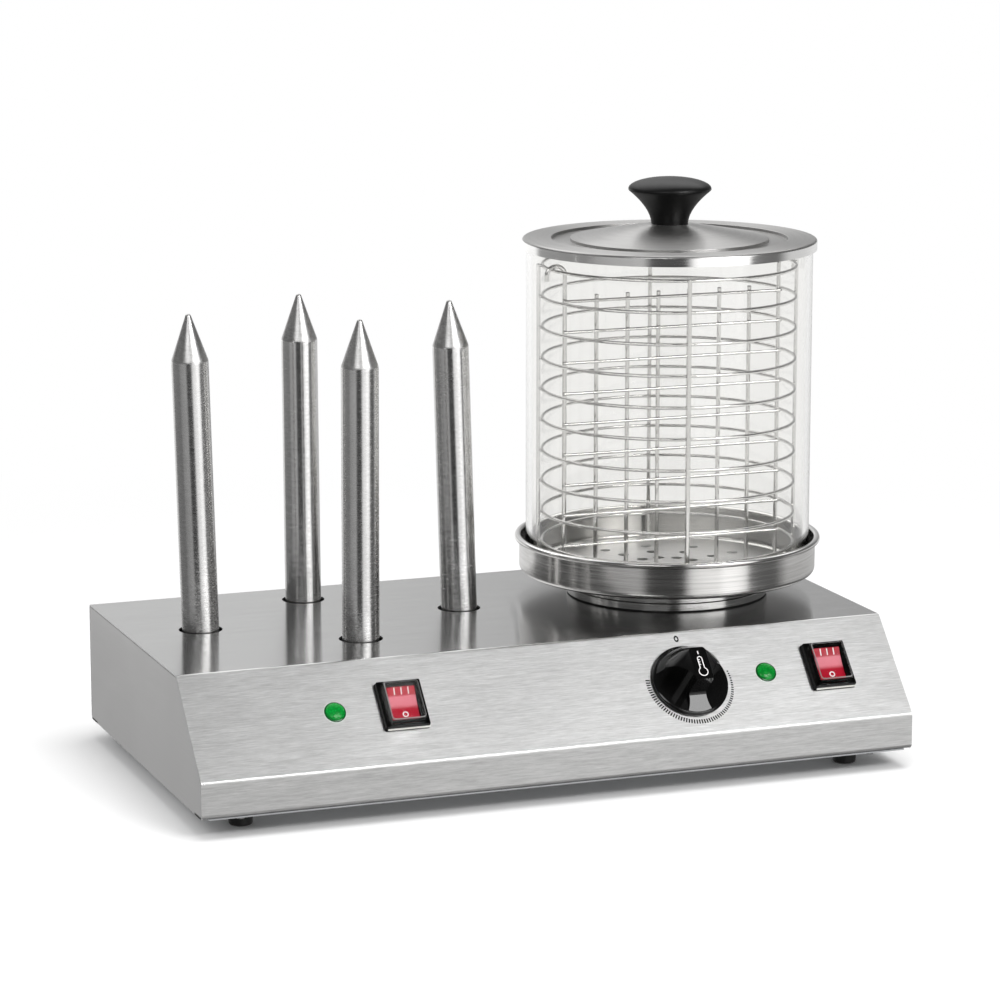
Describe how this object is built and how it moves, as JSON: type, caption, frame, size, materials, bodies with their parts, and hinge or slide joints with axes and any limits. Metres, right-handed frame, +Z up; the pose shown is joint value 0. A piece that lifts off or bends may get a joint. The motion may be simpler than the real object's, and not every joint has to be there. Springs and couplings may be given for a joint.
{
  "type": "hot dog spike machine",
  "caption": "Counter-top hot dog maker: folded steel base with heated bun spikes, a glass steam jar with wire basket and lid, rocker switches, pilot lights and a thermostat knob.",
  "frame": {"origin": "on the table under the middle of the object's box", "axes": "+X to the right seen from the front, +Y to the back, +Z up"},
  "size_m": [0.5, 0.285, 0.3888],
  "materials": {
    "housing_steel": "brushed stainless sheet, grain along the width",
    "zinc_steel": "dull plated sheet",
    "fastener_steel": "plated fasteners",
    "spike_steel": "ground stainless tube",
    "spun_steel": "spun stainless, fine turning lines",
    "heater_sheath": "oxidised heater sheath",
    "wire_chrome": "bright chromed wire",
    "jar_glass": "clear borosilicate glass",
    "black_rubber": "matt black rubber",
    "satin_black": "satin black moulding",
    "gloss_black": "glossy black moulding",
    "rocker_red": "translucent red rocker",
    "clear_cap": "clear flexible splash cap",
    "pilot_green": "translucent green lens",
    "pale_plastic": "pale moulding",
    "brass_parts": "brass and copper parts"
  },
  "bodies": {
    "base": {"housing_shell": "housing_steel", "left_side_panel": "housing_steel", "right_side_panel": "housing_steel", "base_plate": "zinc_steel", "base_screws": "fastener_steel", "rubber_feet": "black_rubber", "foot_screws": "fastener_steel", "foot_nuts": "fastener_steel", "spike_left": "spike_steel", "spike_rear": "spike_steel", "spike_front": "spike_steel", "spike_right": "spike_steel", "spike_plugs": "fastener_steel", "spike_heaters": "heater_sheath", "spike_nuts": "fastener_steel", "spike_bracket": "zinc_steel", "bracket_pillars": "zinc_steel", "boiler_pan": "spun_steel", "water_well": "spun_steel", "boiler_collar": "spun_steel", "collar_gasket": "black_rubber", "ring_heater": "heater_sheath", "pan_stud": "fastener_steel", "pan_strap": "zinc_steel", "pan_nut": "fastener_steel", "left_switch_body": "gloss_black", "right_switch_body": "gloss_black", "left_splash_cap": "clear_cap", "right_splash_cap": "clear_cap", "switch_terminals": "brass_parts", "left_pilot_lens": "pilot_green", "right_pilot_lens": "pilot_green", "pilot_bodies": "pale_plastic", "pilot_nuts": "pale_plastic", "thermostat_body": "pale_plastic", "thermostat_nut": "fastener_steel", "capillary": "brass_parts", "thermostat_bulb": "brass_parts", "cable_gland": "gloss_black", "gland_nut": "gloss_black", "terminal_block": "pale_plastic", "terminal_screws": "fastener_steel", "earth_stud": "brass_parts", "earth_nuts": "fastener_steel"},
    "jar_glass": {"glass_cylinder": "jar_glass"},
    "steam_plate": {"perforated_plate": "spun_steel"},
    "wire_basket": {"basket_rings": "wire_chrome", "basket_uprights": "wire_chrome"},
    "wire_divider": {"divider_uprights": "wire_chrome", "divider_crossbars": "wire_chrome"},
    "jar_lid": {"lid_shell": "spun_steel", "lid_knob": "satin_black", "lid_screw": "fastener_steel"},
    "heat_dial": {"thermostat_knob": "gloss_black", "thermostat_spindle": "fastener_steel"},
    "left_switch_rocker": {"left_rocker": "rocker_red"},
    "right_switch_rocker": {"right_rocker": "rocker_red"}
  },
  "joints": [
    {"name": "glass_lift", "type": "slide", "parent": "base", "child": "jar_glass", "axis": [0, 0, 1], "range_m": [0, 0.06]},
    {"name": "plate_lift", "type": "slide", "parent": "jar_glass", "child": "steam_plate", "axis": [0, 0, 1], "range_m": [0, 0.25]},
    {"name": "basket_lift", "type": "slide", "parent": "steam_plate", "child": "wire_basket", "axis": [0, 0, 1], "range_m": [0, 0.25]},
    {"name": "divider_lift", "type": "slide", "parent": "wire_basket", "child": "wire_divider", "axis": [0, 0, 1], "range_m": [0, 0.24]},
    {"name": "lid_lift", "type": "slide", "parent": "wire_divider", "child": "jar_lid", "axis": [0, 0, 1], "range_m": [0, 0.12]},
    {"name": "dial_turn", "type": "hinge", "parent": "base", "child": "heat_dial", "pos_m": [0.097, -0.11524, 0.06728], "axis": [0, 0.7319, -0.6814], "range_deg": [0, 270]},
    {"name": "left_rocker_tilt", "type": "hinge", "parent": "base", "child": "left_switch_rocker", "pos_m": [-0.106, -0.11461, 0.06942], "axis": [-1, 0, 0], "range_deg": [0, 18]},
    {"name": "right_rocker_tilt", "type": "hinge", "parent": "base", "child": "right_switch_rocker", "pos_m": [0.1994, -0.11461, 0.06942], "axis": [-1, 0, 0], "range_deg": [0, 18]}
  ]
}
